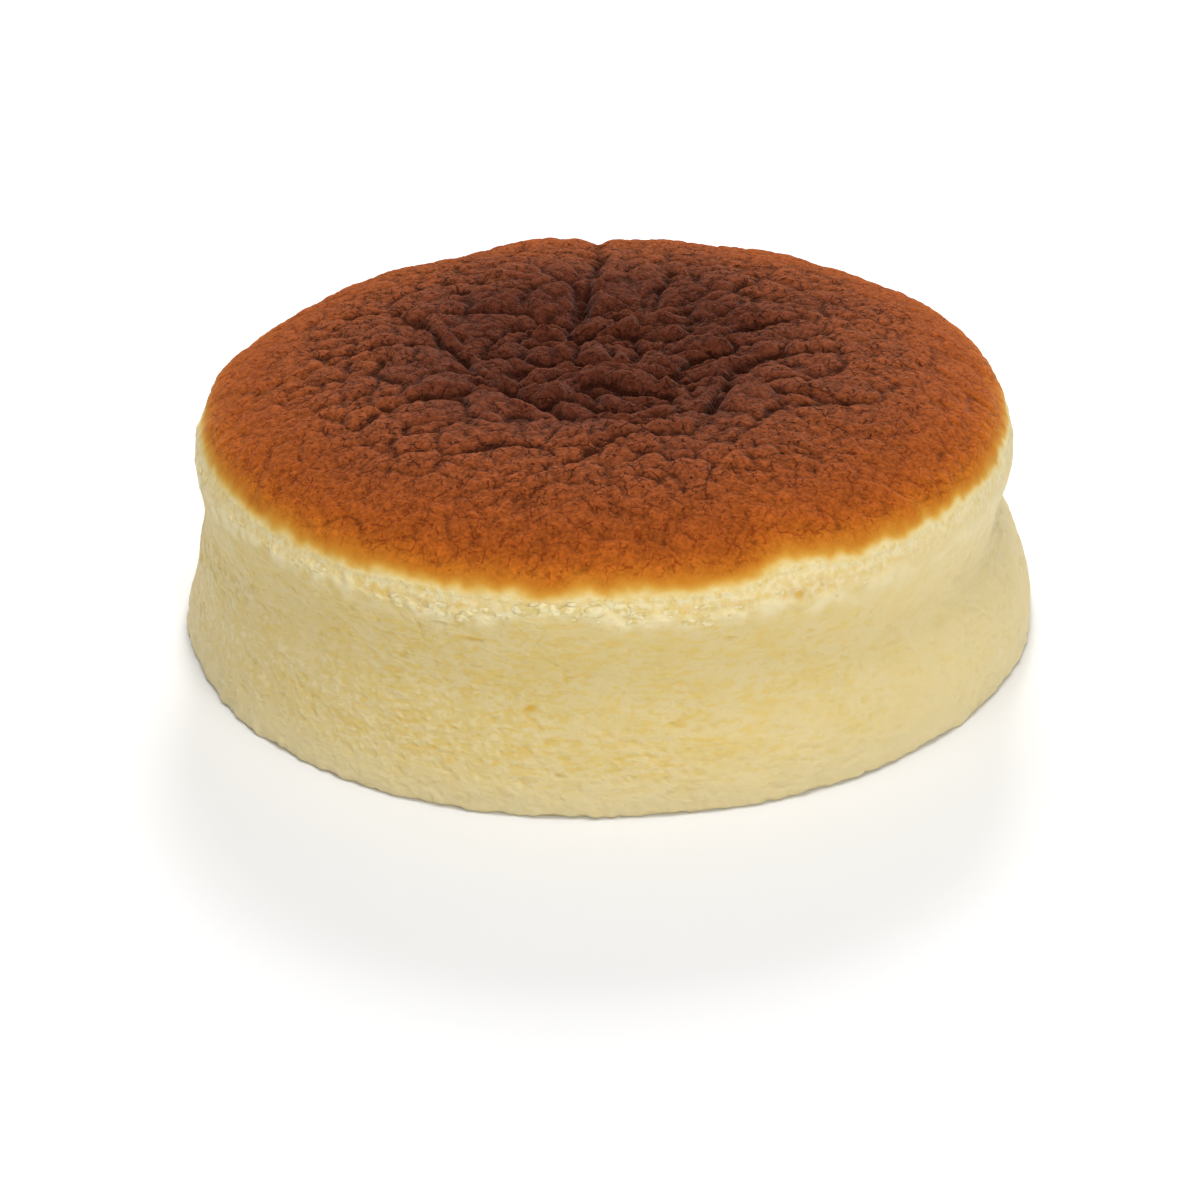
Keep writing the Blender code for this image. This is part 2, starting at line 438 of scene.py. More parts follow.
def placed(turn, radius, height, length, outer, relief, drop):
    """Points in millimetres: rings moved along the profile's normal, down, and out of round."""
    angle = turn * math.tau
    out, up = outer_normals(length)
    relief = np.where(outer, relief, 0.0)
    radius = radius + out * relief
    height = height + up * relief - drop
    wave = plan_wave(angle) * radius / BASE_RADIUS + side_swell(angle, height) * outer
    return on_cake(angle, radius + wave, height)


def into_scene(name, data):
    """A new object in the scene, made of a mesh, a light or a camera."""
    made = bpy.data.objects.new(name, data)
    bpy.context.scene.collection.objects.link(made)
    return made


def mesh_object(name, points, triangles, material):
    """A smooth mesh object from points in millimetres."""
    mesh = bpy.data.meshes.new(name)
    mesh.from_pydata((points * MM).astype(np.float32), (), triangles.astype(np.int32))
    mesh.validate()
    mesh.shade_smooth()
    mesh.materials.append(material)
    return into_scene(name, mesh)


def add_values(piece, **values):
    """Leaves one number for each point on the mesh, for the material to read."""
    for name, numbers in values.items():
        layer = piece.data.attributes.new(name, "FLOAT", "POINT")
        layer.data.foreach_set("value", np.asarray(numbers, np.float32))


def add_map(piece, flat):
    """The texture map on which the finished colours can be stored."""
    layer = piece.data.uv_layers.new(name="OFBake")
    layer.uv.foreach_set("vector", flat.astype(np.float32).ravel())


def disc_map(island, share, turn):
    """Places on a round island: share 0 is its middle and 1 its edge."""
    (u, v), size = island
    angle = turn * math.tau
    return np.stack((u + size * share * np.cos(angle), v + size * share * np.sin(angle)), -1)


# ---- edges round the cake


def round_trip(table, column, angle):
    """Reads a column of a table that begins with degrees, at angles all the way round."""
    degrees = [row[0] for row in table]
    values = [row[column] for row in table]
    return np.interp(np.degrees(angle), degrees, values, period=360.0)


def crust_edge(angle):
    """Height of the browned skin's lower edge."""
    height = np.full_like(angle, CRUST_EDGE_HEIGHT)
    around = turned_from(angle, 0.0)
    for degrees, reach, rise in CRUST_NOTCHES:
        height += rise * np.exp(-(np.abs((around - degrees) / reach) ** 3))
    return height + 0.45 * noise_at(on_cake(angle, RIM_RADIUS, np.zeros_like(angle)), 9.0, 3)


# ---- relief of the crown


def bezier(start, bend, end, samples):
    """Points along the curve from start to end that is drawn towards bend."""
    share = np.linspace(0.0, 1.0, samples)[:, None]
    start, bend, end = (np.array(point, float) for point in (start, bend, end))
    return (1 - share) ** 2 * start + 2 * share * (1 - share) * bend + share**2 * end


def crease_form(plan, start, bend, end, depth, width):
    """For the points near one crease: their numbers, its groove, and a swelling on one side."""
    line = bezier(start, bend, end, CREASE_SAMPLES)
    reach = CREASE_REACH * width
    low = line.min(axis=0) - reach
    high = line.max(axis=0) + reach
    near = np.flatnonzero(((plan > low) & (plan < high)).all(axis=1))
    gaps = np.linalg.norm(plan[near, None, :] - line[None, :, :], axis=2)
    closest = gaps.argmin(axis=1)
    gap = gaps[np.arange(len(near)), closest]
    share = closest / (CREASE_SAMPLES - 1)
    fading = np.sin(math.pi * np.clip(share, 0.04, 0.96)) ** 0.5
    groove = CREASE_SHARE * depth * fading * np.exp(-np.hypot(gap, 0.2) / width)
    along = np.gradient(line, axis=0)[closest]
    offset = plan[near] - line[closest]
    on_left = along[:, 0] * offset[:, 1] > along[:, 1] * offset[:, 0]
    swelling = CREASE_SWELLING * depth * fading * bump(gap, 2.2 * width, 1.6 * width) * on_left
    return near, groove, swelling


def round_forms(plan, table):
    """A smooth round form for each row of x, y, size and radius."""
    for x, y, size, radius in table:
        gap = np.hypot(plan[:, 0] - x, plan[:, 1] - y)
        yield size * np.exp(-((gap / radius) ** 2))


def crease_relief(plan):
    """Height left by the creases, the pits where they meet, and the broad swellings."""
    deepest = np.zeros(len(plan))
    swelling = np.zeros(len(plan))
    for crease in CREASES:
        near, groove, beside = crease_form(plan, *crease)
        deepest[near] = np.maximum(deepest[near], groove)
        swelling[near] = np.maximum(swelling[near], beside)
    for pit in round_forms(plan, PITS):
        deepest = np.maximum(deepest, pit)
    for mound in round_forms(plan, MOUNDS):
        swelling += mound
    return swelling - deepest


def pillows(places, seed, size, height, step, stretch=(1.0, 1.0, 1.0)):
    """Puffed cells at different levels: the more two differ, the sharper the valley between."""
    nearest, second, own, other = cells_at(places, size, seed, stretch)
    border = second - nearest
    level = own + (other - own) * 0.5 * np.exp(-border / 0.10)
    sharp = 0.35 + 0.65 * smoothstep(0.1, 1.0, np.abs(own - other))
    valley = sharp * np.exp(-border / 0.11)
    dome = 1.0 - nearest**2
    cushion = 1.0 - np.exp(-border / 0.22)
    return height * (0.45 * dome + 0.40 * cushion - 0.40 * valley - 0.32) + step * level


def crumple_relief(places):
    """The sunken middle's skin: long soft folds pushed up against each other."""
    turn = math.radians(FOLDS_TURNED)
    across = warped(places, (14.0, 5.0, 31), (4.0, 0.9, 35)) @ np.array(
        [[math.cos(turn), -math.sin(turn), 0], [math.sin(turn), math.cos(turn), 0], [0, 0, 1]]
    )
    folds = pillows(across, 33, *FOLDS, stretch=(1.6, 1.0, 1.0))
    return folds + pillows(across, 34, *WRINKLES, stretch=(1.3, 1.0, 1.0))


def crown_relief(places, plan_radius):
    """Height of the crown's skin over the turned profile, and how far its middle has sunk."""
    plan = places[:, :2]
    from_hollow = np.hypot(plan[:, 0] - HOLLOW_MIDDLE[0], plan[:, 1] - HOLLOW_MIDDLE[1])
    ragged = from_hollow + 5.0 * noise_at(places, 14.0, 71)
    in_crumple = 1.0 - smoothstep(CRUMPLE_RADIUS - 6.0, CRUMPLE_RADIUS + 1.0, ragged)

    large = pillows(warped(places, (9.0, 3.0, 41), (3.0, 0.5, 42)), 51, *LARGE_LUMPS)
    large *= (1.0 - 0.85 * smoothstep(34.0, 62.0, plan_radius)) * (1.0 - 0.85 * in_crumple)
    medium = pillows(warped(places, (9.0, 2.2, 44), (4.0, 1.1, 45)), 52, *MEDIUM_LUMPS)
    puffed = 0.65 + 0.35 * smoothstep(-0.3, 0.3, noise_at(places, 16.0, 48))
    medium *= puffed * (1.0 - 0.60 * smoothstep(48.0, 74.0, plan_radius))
    small = pillows(warped(places, (2.4, 0.8, 46)), 53, *SMALL_LUMPS)
    small *= 1.0 - 0.35 * smoothstep(55.0, 80.0, plan_radius)

    skin = large + medium * (1.0 - 0.5 * in_crumple) + small
    skin += crumple_relief(places) * in_crumple
    meander = plan + 1.3 * (warped(places, (7.0, 1.0, 61)) - places)[:, :2]
    meander += 0.5 * (warped(places, (2.5, 1.0, 64)) - places)[:, :2]
    skin += crease_relief(meander)
    skin += 0.06 * noise_at(places, 1.2, 54) + 0.5 * noise_at(places, 22.0, 73)
    hollow = HOLLOW_DEPTH * np.exp(-((from_hollow / HOLLOW_RADIUS) ** 4))
    return skin, hollow


# ---- relief of the side

# Places of the larger holes: degrees round, height, half width, half height, depth
HOLES = (
    (-65.5, 40.4, 1.3, 0.95, 1.0),
    (-62.0, 41.3, 0.5, 0.8, 0.8),
    (-101.0, 20.6, 1.4, 0.6, 0.9),
    (-82.5, 17.5, 1.1, 0.5, 0.6),
    (-97.0, 9.0, 1.3, 0.4, 0.7),
    (-112.0, 37.0, 2.8, 0.3, 0.6),
    (-108.0, 34.4, 2.4, 0.35, 0.7),
    (-115.5, 35.6, 0.4, 1.3, 0.5),
    (-118.0, 43.1, 0.7, 0.5, 0.4),
    (-142.0, 40.3, 0.6, 0.5, 0.4),
    (-60.0, 30.4, 1.6, 0.35, 0.5),
    (-75.0, 34.0, 2.0, 0.35, 0.5),
    (-34.0, 20.0, 1.0, 0.6, 0.5),
    (32.0, 24.0, 1.6, 0.8, 1.0),
    (77.0, 31.0, 2.2, 0.5, 0.8),
    (121.0, 12.0, 1.3, 0.7, 0.9),
    (158.0, 33.0, 1.8, 0.5, 0.8),
    (103.0, 39.0, 0.9, 0.8, 1.0),
)


def hole_relief(angle, height):
    """How deep the larger holes are at each point."""
    deepest = np.zeros(len(angle))
    for degrees, level, half_width, half_height, depth in HOLES:
        across = np.radians(turned_from(angle, degrees)) * RIM_RADIUS / half_width
        down = (height - level) / half_height
        deepest = np.maximum(deepest, depth * np.exp(-((across**2 + down**2) ** 1.5)))
    return deepest


def pitted_relief(places, angle, height):
    """Relief of the whole side and its foot, and how deep its pores and its holes are."""
    drawn = warped(places * np.array((1.0, 1.0, 2.3)), (6.0, 2.2, 81))
    where = smoothstep(-0.35, 0.35, noise_at(places, 13.0, 83) + 0.25)
    where *= 1.0 - 0.6 * smoothstep(34.0, 38.0, height)
    pores = smoothstep(0.16, 0.55, fractal_at(drawn, 2.6, 82, 3)) * where
    ragged = angle + 0.007 * noise_at(places, 1.6, 84)
    holes = hole_relief(ragged, height + 0.5 * noise_at(places, 2.4, 85))
    relief = 0.40 * noise_at(places, 26.0, 86) + 0.24 * fractal_at(drawn, 9.0, 87, 4)
    relief -= 0.30 * pores + holes
    at_foot = 1.0 - smoothstep(0.4, 5.0, height)
    relief += at_foot * (0.5 * noise_at(places, 6.0, 88) + 0.45 * noise_at(places, 2.2, 89))
    return relief, pores, holes


def torn_relief(places, angle, height):
    """Relief of the torn upper edge, how torn the crumb is, and where it has a ragged lip."""
    above = height - round_trip(TORN_EDGE, 1, angle)
    above += 1.3 * noise_at(places, 6.0, 11) + 1.0 * noise_at(places, 2.2, 12)
    step = round_trip(TORN_EDGE, 2, angle)
    width = round_trip(TORN_EDGE, 3, angle)
    torn = smoothstep(-0.3, 1.0, above / width)
    flaky = smoothstep(-0.5, 0.2, noise_at(places, 3.2, 92))
    lip = (1.0 - torn) * bump(np.minimum(above, 0.0), 0.0, 2.0 + 0.4 * width) * flaky
    crumbly = 0.24 * noise_at(places, 3.6, 90) + 0.18 * noise_at(places, 1.5, 91)
    relief = crumbly * np.maximum(0.5 * torn, bump(above, 0.0, 2.2))
    relief += 0.3 * step * bump(above, -1.0, 1.4) * flaky - torn * step
    return relief, torn, lip


def side_relief(places, angle, height):
    """Relief of the crumb's side, how deep its pores are, how torn it is, and its torn lip."""
    pitted, pores, holes = pitted_relief(places, angle, height)
    at_edge, torn, lip = torn_relief(places, angle, height)
    deep = np.maximum(pores * 0.6 * (1.0 - torn), np.clip(holes / 0.7, 0.0, 1.0))
    return pitted + at_edge, deep, torn, lip


# ---- the whole outer skin


def outer_skin(angle, radius, height, length):
    """Relief, drop and the material's values at places on the turned profile."""
    places = on_cake(angle, radius, height)
    crown_share = smoothstep(*RELIEF_CHANGES, height)
    relief = np.zeros(len(angle))
    hollow = np.zeros(len(angle))
    pore = np.zeros(len(angle))
    torn = np.ones(len(angle))
    lip = np.zeros(len(angle))
    on_crown = np.flatnonzero(crown_share > 0.0)
    skin, sunk = crown_relief(places[on_crown], radius[on_crown])
    relief[on_crown] = skin * crown_share[on_crown]
    hollow[on_crown] = sunk
    on_side = np.flatnonzero(crown_share < 1.0)
    found = side_relief(places[on_side], angle[on_side], height[on_side])
    skin, deep, torn[on_side], lip[on_side] = found
    relief[on_side] += skin * (1.0 - crown_share[on_side])
    pore[on_side] = deep * (1.0 - crown_share[on_side])
    edge_length = np.interp(-crust_edge(angle), -WHOLE_CURVE[:, 1], CURVE_LENGTHS)
    values = {"baked": edge_length - length, "pore": pore, "torn": torn, "lip": lip}
    return relief, hollow, values


def seam_sink(past):
    """How far a mesh lies under the other one, this far past the seam."""
    past = np.maximum(past, 0.0)
    return np.minimum(SEAM_SLOPE * past + SEAM_CURVE * past**2, SEAM_DEEPEST)


def crumb_sink(angle, height):
    """How far the crumb lies under the crown here: 0 all the way below the seam."""
    return seam_sink(height - crust_edge(angle) + SEAM_DROP)


def sunken(relief, triangles, rounds):
    """How far each point lies below the mean of the skin round it."""
    pairs = np.vstack((triangles[:, [0, 1]], triangles[:, [1, 2]], triangles[:, [2, 0]]))
    near = np.bincount(pairs[:, 0], minlength=len(relief))
    mean = relief
    for _ in range(rounds):
        total = np.bincount(pairs[:, 0], weights=mean[pairs[:, 1]], minlength=len(relief))
        mean = 0.5 * mean + 0.5 * total / near
    return mean - relief


# ---- the two big meshes


def crown_rings():
    """Rings over the crown, down behind the crumb, and back across underneath."""
    rings = Rings()
    last = length_at_height(CROWN_TUCK_HEIGHT)
    radius = rings.add_outer(
        0.0, last, CROWN_RING_GAP, lambda step: min(max(1, 6 * step), CROWN_SIDES)
    )
    under = radius - SEAM_DEEPEST - CROWN_UNDERSIDE_INSET
    rings.add_hidden(under, CROWN_TUCK_HEIGHT, CROWN_SIDES, last, inward=True)
    return rings


def crumb_rings():
    """Rings across the hidden cap, down the side and the foot, and across the base."""
    rings = Rings()
    first = length_at_height(CRUMB_TOP_HEIGHT)
    last = CURVE_LENGTHS[-1]
    cap = on_curve(np.array([first]))[0][0] - SEAM_DEEPEST - CRUMB_CAP_INSET
    rings.add_hidden(cap, CRUMB_CAP_HEIGHT, CRUMB_SIDES, first, inward=False)
    radius = rings.add_outer(first, last, CRUMB_RING_GAP, lambda step: CRUMB_SIDES)
    rings.add_hidden(radius, 0.0, CRUMB_SIDES, last, inward=True)
    return rings


def build_crown(material):
    """The browned crown."""
    rings = crown_rings()
    turn, radius, height, length, outer = rings.points()
    angle = turn * math.tau
    triangles, corner_turn = rings.triangles()
    relief, hollow, values = outer_skin(angle, radius, height, length)
    # How sunken each point is: for painted shade in crevices and valleys, painted highlight on
    # ridges
    hollowness = sunken(relief * outer, triangles, CREVICE_ROUNDS)
    valley = sunken(relief * outer, triangles, VALLEY_ROUNDS)
    relief -= seam_sink(crust_edge(angle) - SEAM_DROP - height)
    points = placed(turn, radius, height, length, outer, relief, hollow * outer)
    piece = mesh_object("browned_crown", points, triangles, material)
    add_values(piece, hollowness=hollowness, valley=valley, **values)
    add_map(piece, crown_map(triangles, corner_turn, radius, length, outer))
    return piece


def crown_map(triangles, corner_turn, radius, length, outer):
    """The outside as one large round island, and the underside as a small one in a corner."""
    last = length[outer].max()
    on_outside = outer[triangles].all(axis=1)[:, None, None]
    large = disc_map(CROWN_ISLAND, length[triangles] / last, corner_turn)
    small = disc_map(UNDERSIDE_ISLAND, radius[triangles] / RIM_RADIUS, corner_turn)
    return np.where(on_outside, large, small)


def build_crumb(material):
    """The pale crumb, with its torn upper edge, pitted side and flat base."""
    rings = crumb_rings()
    turn, radius, height, length, outer = rings.points()
    angle = turn * math.tau
    triangles, corner_turn = rings.triangles()
    relief, _, values = outer_skin(angle, radius, height, length)
    relief -= crumb_sink(angle, height)
    points = placed(turn, radius, height, length, outer, relief, 0.0)
    at_base = outer & (length > CURVE_LENGTHS[-1] - 1e-6)
    points[at_base, 2] = 0.0
    points[:, 2] = np.maximum(points[:, 2], 0.0)
    piece = mesh_object("pale_crumb", points, triangles, material)
    add_values(piece, **values)
    add_map(piece, crumb_map(triangles, corner_turn, radius, length, outer, height))
    return piece


def crumb_map(triangles, corner_turn, radius, length, outer, height):
    """Three strips for the side, and two small round islands for the cap and the base."""
    first = length[outer].min()
    last = length[outer].max()
    middle_turn = corner_turn.mean(axis=1)
    strip = np.minimum((middle_turn * SIDE_STRIPS).astype(int), SIDE_STRIPS - 1)[:, None]
    u = 0.01 + 0.98 * (corner_turn * SIDE_STRIPS - strip)
    v = (strip + 0.02 + 0.94 * (length[triangles] - first) / (last - first)) * STRIP_SPACING
    side = np.stack((u, v), -1)
    share = radius[triangles] / BASE_RADIUS
    cap = disc_map(CAP_ISLAND, share, corner_turn)
    base = disc_map(BASE_ISLAND, share, corner_turn)
    on_side = outer[triangles].all(axis=1)[:, None, None]
    on_cap = (height[triangles].mean(axis=1) > RIM_HEIGHT)[:, None, None]
    return np.where(on_side, side, np.where(on_cap, cap, base))


# ---- flakes on the torn edge

# The larger flakes: degrees round, height, half length, half height
LARGE_FLAKES = (
    (-118.0, 40.6, 2.3, 0.7), (-112.5, 40.4, 2.0, 0.8), (-106.5, 40.7, 2.1, 0.8),
    (-101.0, 41.6, 2.4, 1.2), (-98.3, 42.0, 2.6, 1.2), (-95.4, 41.8, 2.2, 1.1),
    (-92.3, 41.9, 1.8, 1.1), (-90.4, 43.0, 1.0, 1.3), (-89.2, 41.8, 2.0, 1.3),
    (-86.4, 40.9, 2.1, 1.0), (-82.6, 40.7, 1.7, 0.8), (-77.5, 41.0, 1.9, 0.7),
    (34.0, 41.6, 1.6, 0.7), (81.0, 41.4, 1.9, 0.8), (88.0, 41.8, 1.3, 0.9),
    (128.0, 42.0, 1.8, 0.7), (167.0, 41.6, 1.5, 0.7),
)
SMALL_FLAKES = 120              # at most: chance can leave fewer of them
FLAKES_THICKEST_AT = -98.0      # degrees round, where there are most of them
FLAKE_LIFT = math.radians(8.0)  # how far a flake's upper edge leans out
FLAKE_SINK = 0.11               # how deep its middle lies in the side
FLAKE_THICKNESS = 0.13          # half of it, for the smallest flake


def flake_rows():
    """Angle, height, half length and half height of each flake."""
    chance = np.random.default_rng(12)
    angle = chance.uniform(-math.pi, math.pi, 3 * SMALL_FLAKES)
    turned = turned_from(angle, FLAKES_THICKEST_AT)
    likely = 0.25 + 0.75 * bump(turned, 0.0, 26.0) - 0.25 * bump(turned, 68.0, 36.0)
    angle = angle[chance.random(len(angle)) < likely][:SMALL_FLAKES]
    height = round_trip(TORN_EDGE, 1, angle) + chance.normal(0.0, 0.9, len(angle))
    half_length = chance.uniform(0.4, 1.5, len(angle))
    half_height = half_length * chance.uniform(0.4, 0.7, len(angle))
    small = np.column_stack((angle, height, half_length, half_height))
    large = np.array(LARGE_FLAKES) * (math.radians(1.0), 1.0, 1.0, 1.0)
    return np.vstack((large, small))


def flake_middles(angle, height):
    """Where flakes sit on the crumb's skin, and the way out of the skin there."""
    length = np.interp(-height, -WHOLE_CURVE[:, 1], CURVE_LENGTHS)
    radius = on_curve(length)[:, 0]
    relief = outer_skin(angle, radius, height, length)[0]
    relief -= crumb_sink(angle, height)
    middles = placed(angle / math.tau, radius, height, length, True, relief, 0.0)
    out, up = outer_normals(length)
    return middles, on_cake(angle, out, up)


def unit_ball():
    """Points and triangles of a ball of radius 1."""
    ball = bmesh.new()
    bmesh.ops.create_icosphere(ball, subdivisions=3, radius=1.0)
    points = np.array([corner.co[:] for corner in ball.verts])
    triangles = np.array([[corner.index for corner in face.verts] for face in ball.faces])
    ball.free()
    return points, triangles


def flake_points(ball, place, middle, outward, angle, half_length, half_height):
    """One ragged flake, made from the ball: a place in the noise of its own shapes its edge."""
    ragged = 1.0 + 0.40 * noise_at(ball + place, 0.8, 21) + 0.34 * noise_at(ball + place, 0.35, 22)
    around = np.array((-math.sin(angle), math.cos(angle), 0.0))
    upward = np.cross(outward, around)
    leaning = upward * math.cos(FLAKE_LIFT) + outward * math.sin(FLAKE_LIFT)
    facing = outward * math.cos(FLAKE_LIFT) - upward * math.sin(FLAKE_LIFT)
    half_sizes = (half_length, half_height, FLAKE_THICKNESS + 0.07 * half_height)
    shaped = ball * ragged[:, None] * half_sizes
    return middle - FLAKE_SINK * outward + shaped @ np.array((around, leaning, facing))


def build_flakes(material):
    """Ragged flakes of crumb, each sunk partly into the side with its upper edge lifted."""
    rows = flake_rows()
    middles, outwards = flake_middles(rows[:, 0], rows[:, 1])
    ball, ball_triangles = unit_ball()
    points = []
    triangles = []
    for number, (angle, _, half_length, half_height) in enumerate(rows):
        points.append(
            flake_points(
                ball, 5.0 * number, middles[number], outwards[number],
                angle, half_length, half_height,
            )
        )
        triangles.append(ball_triangles + number * len(ball))
    return mesh_object("torn_flakes", np.vstack(points), np.vstack(triangles), material)


# ---- materials


def linear_colour(red, green, blue):
    """A colour given as it looks on screen, 0 to 255, as the linear values that shaders use."""
    def linear(value):
        share = value / 255.0
        return share / 12.92 if share <= 0.04045 else ((share + 0.055) / 1.055) ** 2.4
    return (linear(red), linear(green), linear(blue), 1.0)


class Shader:
    """A material being wired up: adds nodes and joins them in short calls.

    What goes into a node is a plain value or another node's output. Sizes are in millimetres.
    """

    def __init__(self, name):
        self.material = bpy.data.materials.new(name)
        self.material.use_nodes = True
        self.tree = self.material.node_tree
        self.surface = self.tree.nodes["Principled BSDF"]
        self.place = self.node("TexCoord").outputs["Object"]

    def feed(self, socket, given):
        """Gives a socket a plain value, or links it to another node's output."""
        if isinstance(given, (int, float, tuple)):
            socket.default_value = given
        else:
            self.tree.links.new(given, socket)

    def feed_named(self, node, inputs):
        """Feeds the node's inputs, whose names are written with _ for each space."""
        for name, given in inputs.items():
            self.feed(node.inputs[name.replace("_", " ")], given)
        return node

    def node(self, kind, **inputs):
        """A new node with these inputs."""
        return self.feed_named(self.tree.nodes.new("ShaderNode" + kind), inputs)

    def paint(self, **inputs):
        """Feeds the surface's inputs and returns the material."""
        self.feed_named(self.surface, inputs)
        return self.material

    def value(self, name):
        """One of the numbers left on the mesh."""
        node = self.node("Attribute")
        node.attribute_name = name
        return node.outputs["Fac"]

    def coordinate(self, axis):
        """How far along this axis the place is, in metres."""
        return self.node("SeparateXYZ", Vector=self.place).outputs[axis]

    def vector(self, operation, *values):
        """Vector arithmetic."""
        return self.math(operation, *values, kind="VectorMath")

    def math(self, operation, *values, kind="Math"):
        """Arithmetic on numbers."""
        node = self.node(kind)
        node.operation = operation
        for socket, given in zip(node.inputs, values):
            self.feed(socket, given)
        return node.outputs[0]

    def product(self, *values):
        return functools.reduce(functools.partial(self.math, "MULTIPLY"), values)

    def total(self, *values):
        return functools.reduce(functools.partial(self.math, "ADD"), values)

    def greatest(self, *values):
        return functools.reduce(functools.partial(self.math, "MAXIMUM"), values)

    def noise(self, size, detail=2.0, seed=0, place=None, roughness=0.55, output="Fac"):
        """Smooth noise between 0 and 1, with waves of about this size."""
        place = place or self.place
        if seed:
            place = self.vector("ADD", place, (seed * 0.37, seed * -0.23, seed * 0.41))
        node = self.node(
            "TexNoise", Vector=place, Scale=1.0 / (size * MM), Detail=detail, Roughness=roughness
        )
        return node.outputs[output]

    def drawn(self, size, reach, seed=0):
        """The place, moved by up to about reach, so that patterns wander."""
        wander = self.noise(size, 1.0, seed, output="Color")
        centred = self.vector("SUBTRACT", wander, (0.5, 0.5, 0.5))
        return self.vector("MULTIPLY_ADD", centred, (4 * reach * MM,) * 3, self.place)

    def flattened(self, place, times):
        """The place, stretched upwards, which makes patterns there this many times flatter."""
        return self.vector("MULTIPLY", place, (1.0, 1.0, times))

    def border(self, size, place):
        """Distance to the border of the cell round this place, in parts of the cells' size."""
        node = self.node("TexVoronoi", Vector=place, Scale=1.0 / (size * MM))
        node.feature = "DISTANCE_TO_EDGE"
        return node.outputs["Distance"]

    def spots(self, size, largest, share, place):
        """Scattered round spots, at most one for each cell: 1 in a spot and 0 between them.

        The largest radius is in parts of the cells' size, and share is how many cells have one.
        """
        cells = self.node("TexVoronoi", Vector=place, Scale=1.0 / (size * MM))
        chance = self.node("SeparateColor", Color=cells.outputs["Color"]).outputs[0]
        radius = self.between(chance, 1.0 - share, 1.0, 0.0, largest)
        inside = self.math("SUBTRACT", radius, cells.outputs["Distance"])
        return self.between(inside, -0.03, 0.09)

    def between(self, value, low, high, to_low=0.0, to_high=1.0):
        """A smooth change from to_low to to_high while the value goes from low to high."""
        node = self.node(
            "MapRange", Value=value, From_Min=low, From_Max=high, To_Min=to_low, To_Max=to_high
        )
        node.interpolation_type = "SMOOTHSTEP"
        return node.outputs["Result"]

    def ramp(self, value, stops):
        """Colours along a scale: stops are (value, colour)."""
        low, high = stops[0][0], stops[-1][0]
        spread = self.node("MapRange", Value=value, From_Min=low, From_Max=high)
        node = self.node("ValToRGB", Fac=spread.outputs["Result"])
        band = node.color_ramp
        band.elements[0].color = stops[0][1]
        band.elements[1].color = stops[-1][1]
        for at, colour in stops[1:-1]:
            band.elements.new((at - low) / (high - low)).color = colour
        return node.outputs["Color"]

    def mix(self, share, first, second):
        """The first colour, with this share of the second over it."""
        node = self.node("Mix")
        node.data_type = "RGBA"
        sockets = (node.inputs["Factor"], *node.inputs[6:8])
        for socket, given in zip(sockets, (share, first, second)):
            self.feed(socket, given)
        return node.outputs[2]

    def brightened(self, colour, factor):
        """The colour times a number."""
        node = self.node("VectorMath")
        node.operation = "SCALE"
        self.feed(node.inputs[0], colour)
        self.feed(node.inputs["Scale"], factor)
        return node.outputs[0]

    def bumped(self, height, distance):
        """Bends the surface's shading by a height, which 1 raises by this distance."""
        node = self.node("Bump", Strength=1.0, Distance=distance * MM, Height=height)
        self.feed(self.surface.inputs["Normal"], node.outputs["Normal"])

    def finish(self, colour, roughness, specular, scatter, scatter_depth):
        """Sets the cake's surface and returns the material. Specular is a plain value."""
        return self.paint(
            Base_Color=colour,
            Roughness=roughness,
            Specular_IOR_Level=specular,
            Subsurface_Weight=scatter,
            Subsurface_Radius=SCATTER_BY_COLOUR,
            Subsurface_Scale=scatter_depth * MM,
        )


# Colour of the crown's skin by the distance in from the browned edge, as seen on screen
SKIN_COLOURS = (
    (-12.0, (224, 202, 144)),
    (-1.3, (222, 198, 137)),
    (-0.6, (217, 185, 112)),
    (0.0, (211, 166, 80)),
    (0.7, (202, 144, 56)),
    (1.6, (193, 124, 40)),
    (2.8, (184, 107, 32)),
    (5.0, (170, 90, 28)),
    (7.0, (160, 81, 27)),
    (10.0, (151, 75, 27)),
    (14.0, (143, 71, 28)),
    (20.0, (134, 67, 30)),
    (28.0, (122, 62, 32)),
    (36.0, (113, 58, 33)),
    (46.0, (100, 52, 33)),
    (56.0, (82, 41, 27)),
    (90.0, (76, 38, 25)),
)
# Painted shade for the crown's crevices and valleys
PAINTED_SHADE_BROWN = linear_colour(40, 16, 9)
RED_BROWN = linear_colour(122, 44, 12)
CRACK_BROWN = linear_colour(50, 18, 9)
SHEEN_TINT = (1.0, 0.84, 0.74, 1.0)

CRUMB_COLOUR = linear_colour(214, 194, 138)
CRUMB_YELLOW = linear_colour(213, 191, 126)
CRUMB_DEEP = linear_colour(214, 183, 92)
CRUMB_TAN = linear_colour(216, 190, 128)
CRUMB_HOLE = linear_colour(228, 184, 68)
CRUMB_TORN = linear_colour(228, 213, 168)
# Painted light: the paler crumb at the foot, as if lit from below
CRUMB_FOOT_LIT = linear_colour(212, 197, 152)
# Painted light: paler crumb towards the right; at the skin's edge partly whiter torn crumb
PALE_LIT_CRUMB = linear_colour(220, 203, 152)
FLAKE_WHITE = linear_colour(231, 217, 172)
FLOOR_GREY = (0.86, 0.86, 0.86, 1.0)

SCATTER_BY_COLOUR = (1.0, 0.6, 0.28)
CAKE_SCATTER_DEPTH = 2.2
FLAKE_SCATTER_DEPTH = 0.6
SKIN_BUMP = 0.34              # how far the finest relief stands out
CRUMB_BUMP = 0.6


def torn_crumbs(shader):
    """The fine crumbs of torn cake, as noise."""
    return shader.noise(1.5, 2.0, 18)


def right_lit_share(shader):
    """0 over most of the cake, rising to 1 towards its right, where painted light makes the crumb
    paler.
    """
    return shader.between(shader.coordinate("X"), 15.0 * MM, 75.0 * MM)


